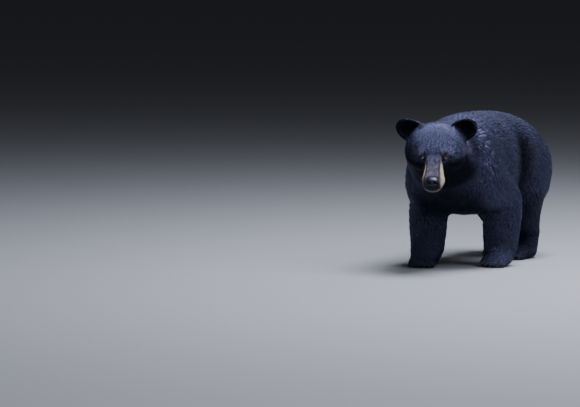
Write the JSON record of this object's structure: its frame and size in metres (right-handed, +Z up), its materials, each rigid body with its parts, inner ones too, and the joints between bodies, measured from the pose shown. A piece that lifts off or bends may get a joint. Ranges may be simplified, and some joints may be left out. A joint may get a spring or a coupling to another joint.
{
  "type": "american black bear, standing, life-size still model",
  "caption": "Black bear with a tan muzzle standing in mid stride, head low and turned slightly to its left; body parted at the neck, limbs, paws, ears, jaw and tail.",
  "frame": {"origin": "on the floor under the middle of the bear's bounding box", "axes": "+Z up; the bear faces -Y, with its left side towards +X"},
  "size_m": [0.4944, 1.2186, 0.6986],
  "materials": {
    "coat": "black fur with a cool sheen",
    "ear": "short black fur",
    "muzzle": "short tan fur",
    "nose": "moist pebbled skin",
    "eye": "glossy dark brown",
    "claw": "dark horn"
  },
  "bodies": {
    "root": {"claw_fore_left_1": "claw", "claw_fore_left_2": "claw", "claw_fore_left_3": "claw", "claw_fore_left_4": "claw", "claw_fore_left_5": "claw", "claw_fore_right_1": "claw", "claw_fore_right_2": "claw", "claw_fore_right_3": "claw", "claw_fore_right_4": "claw", "claw_fore_right_5": "claw", "claw_hind_left_1": "claw", "claw_hind_left_2": "claw", "claw_hind_left_3": "claw", "claw_hind_left_4": "claw", "claw_hind_left_5": "claw", "claw_hind_right_1": "claw", "claw_hind_right_2": "claw", "claw_hind_right_3": "claw", "claw_hind_right_4": "claw", "claw_hind_right_5": "claw", "ear_left": "ear", "ear_right": "ear", "eye_left": "eye", "eye_right": "eye", "forearm_left": "coat", "forearm_right": "coat", "forepaw_left": "coat", "forepaw_right": "coat", "head": "coat", "hindpaw_left": "coat", "hindpaw_right": "coat", "jaw": "muzzle", "muzzle": "muzzle", "neck": "coat", "nose": "nose", "shank_left": "coat", "shank_right": "coat", "tail": "coat", "thigh_left": "coat", "thigh_right": "coat", "trunk": "coat", "upper_arm_left": "coat", "upper_arm_right": "coat"}
  },
  "joints": []
}
